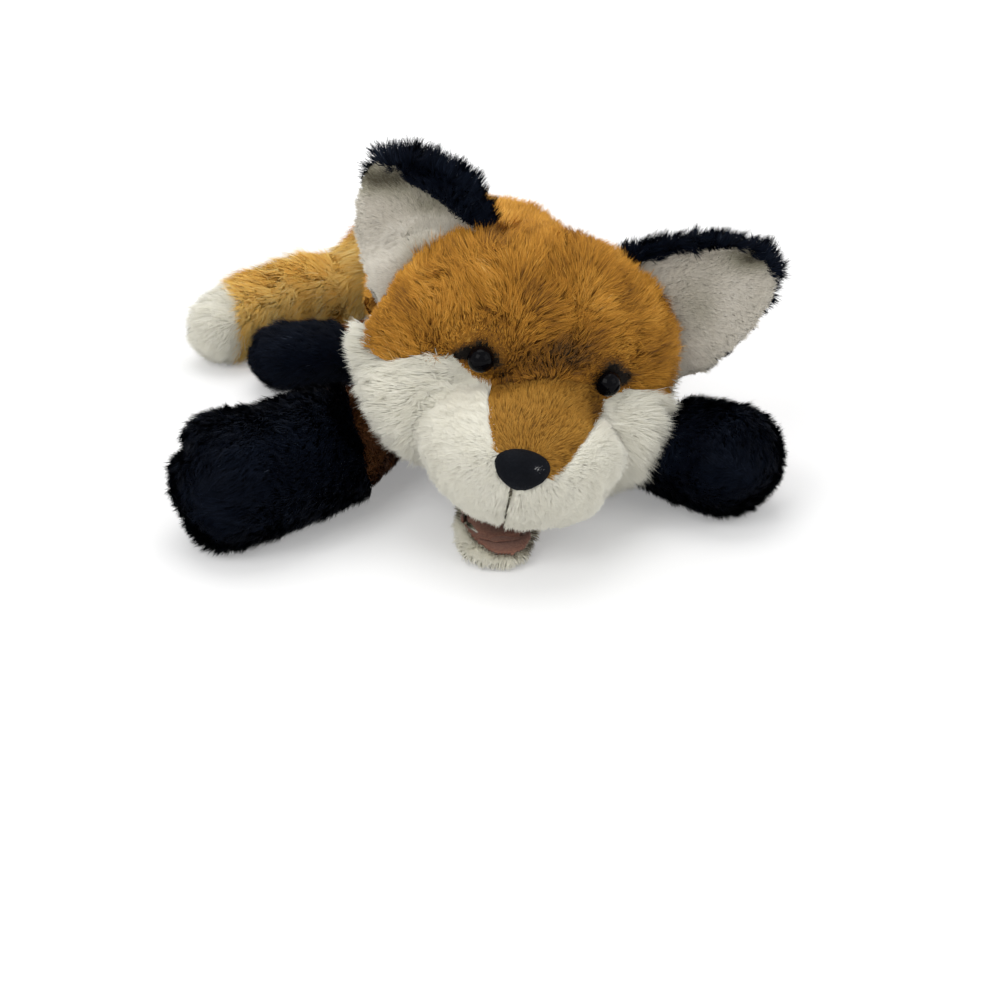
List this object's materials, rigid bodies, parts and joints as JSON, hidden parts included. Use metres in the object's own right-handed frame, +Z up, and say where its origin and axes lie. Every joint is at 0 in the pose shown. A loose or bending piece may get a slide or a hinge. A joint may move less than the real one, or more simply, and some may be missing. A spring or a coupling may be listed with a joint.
{
  "type": "animal hand puppet",
  "caption": "Plush fox hand puppet lying on its belly, with a lined hand space, a jaw that opens, folding ears, and legs and a tail that swing.",
  "frame": {"origin": "on the floor, under the middle of the whole puppet", "axes": "+Z up, -Y the way the face looks, -X the fox's own right side"},
  "size_m": [0.3342, 0.3708, 0.1797],
  "materials": {
    "rust_plush": "long golden-brown pile",
    "gold_plush": "long orange-yellow pile",
    "auburn_plush": "short reddish-brown pile",
    "white_plush": "long off-white pile",
    "black_plush": "long blue-black pile",
    "ear_plush": "short grey-white pile",
    "muzzle_plush": "short brown pile",
    "mouth_suede": "brown-pink suede cloth",
    "nose_velvet": "black velvet",
    "eye_plastic": "polished black",
    "washer_plastic": "plain",
    "cotton_lining": "woven lining",
    "fibre_filling": "polyester fibre"
  },
  "bodies": {
    "torso": {"back_panel": "rust_plush", "belly_panel": "auburn_plush", "torso_stuffing": "fibre_filling", "hand_lining": "cotton_lining", "opening_hem": "auburn_plush"},
    "neck": {"neck_ruff": "rust_plush", "neck_stuffing": "fibre_filling", "neck_lining": "cotton_lining"},
    "head": {"crown_panel": "rust_plush", "right_cheek_panel": "white_plush", "left_cheek_panel": "white_plush", "muzzle_top_panel": "muzzle_plush", "right_muzzle_panel": "white_plush", "left_muzzle_panel": "white_plush", "throat_panel": "white_plush", "head_stuffing": "fibre_filling", "right_cheek_stuffing": "fibre_filling", "left_cheek_stuffing": "fibre_filling", "finger_pocket": "cotton_lining", "mouth_roof": "mouth_suede", "nose": "nose_velvet", "right_eye": "eye_plastic", "right_eye_washer": "washer_plastic", "left_eye": "eye_plastic", "left_eye_washer": "washer_plastic"},
    "jaw": {"chin_panel": "white_plush", "mouth_floor": "mouth_suede"},
    "right_ear": {"right_ear_back": "black_plush", "right_ear_lining": "ear_plush"},
    "left_ear": {"left_ear_back": "black_plush", "left_ear_lining": "ear_plush"},
    "right_foreleg": {"right_foreleg_sleeve": "auburn_plush", "right_forepaw": "black_plush", "right_foreleg_stuffing": "fibre_filling"},
    "left_foreleg": {"left_foreleg_sleeve": "auburn_plush", "left_forepaw": "black_plush", "left_foreleg_stuffing": "fibre_filling"},
    "right_hindleg": {"right_thigh_sleeve": "rust_plush", "right_hind_paw": "black_plush", "right_hindleg_stuffing": "fibre_filling"},
    "left_hindleg": {"left_thigh_sleeve": "rust_plush", "left_hind_paw": "black_plush", "left_hindleg_stuffing": "fibre_filling"},
    "tail": {"tail_brush": "gold_plush", "tail_tip": "white_plush", "tail_stuffing": "fibre_filling"}
  },
  "joints": [
    {"name": "head_turn", "type": "hinge", "parent": "torso", "child": "neck", "pos_m": [0.02691, -0.02955, 0.064], "axis": [0, 0, 1], "range_deg": [-12, 12]},
    {"name": "head_nod", "type": "hinge", "parent": "neck", "child": "head", "pos_m": [0.02691, -0.02955, 0.064], "axis": [-1, 0, 0], "range_deg": [0, 30]},
    {"name": "jaw_open", "type": "hinge", "parent": "head", "child": "jaw", "pos_m": [0.02691, -0.10555, 0.0086], "axis": [0.9903, -0.1392, 0], "range_deg": [-8, 20]},
    {"name": "right_ear_fold", "type": "hinge", "parent": "head", "child": "right_ear", "pos_m": [-0.01179, -0.07681, 0.12542], "axis": [0.9207, -0.1569, 0.3573], "range_deg": [-24, 24], "stiffness_Nm_per_rad": 0.1},
    {"name": "left_ear_fold", "type": "hinge", "parent": "head", "child": "left_ear", "pos_m": [0.10585, -0.06114, 0.09766], "axis": [0.3464, -0.039, -0.9373], "range_deg": [-24, 24], "stiffness_Nm_per_rad": 0.1},
    {"name": "right_foreleg_swing", "type": "hinge", "parent": "torso", "child": "right_foreleg", "pos_m": [-0.02609, 0.00445, 0.024], "axis": [0, 0, -1], "range_deg": [0, 25]},
    {"name": "left_foreleg_swing", "type": "hinge", "parent": "torso", "child": "left_foreleg", "pos_m": [0.07591, 0.00445, 0.024], "axis": [0, 0, 1], "range_deg": [0, 25]},
    {"name": "right_hindleg_swing", "type": "hinge", "parent": "torso", "child": "right_hindleg", "pos_m": [-0.04309, 0.07245, 0.022], "axis": [0, 0, 1], "range_deg": [0, 15]},
    {"name": "left_hindleg_swing", "type": "hinge", "parent": "torso", "child": "left_hindleg", "pos_m": [0.06891, 0.07245, 0.022], "axis": [0, 0, 1], "range_deg": [-15, 15]},
    {"name": "tail_wag", "type": "hinge", "parent": "torso", "child": "tail", "pos_m": [0.00191, 0.12445, 0.083], "axis": [0, 0, -1], "range_deg": [0, 40]}
  ]
}
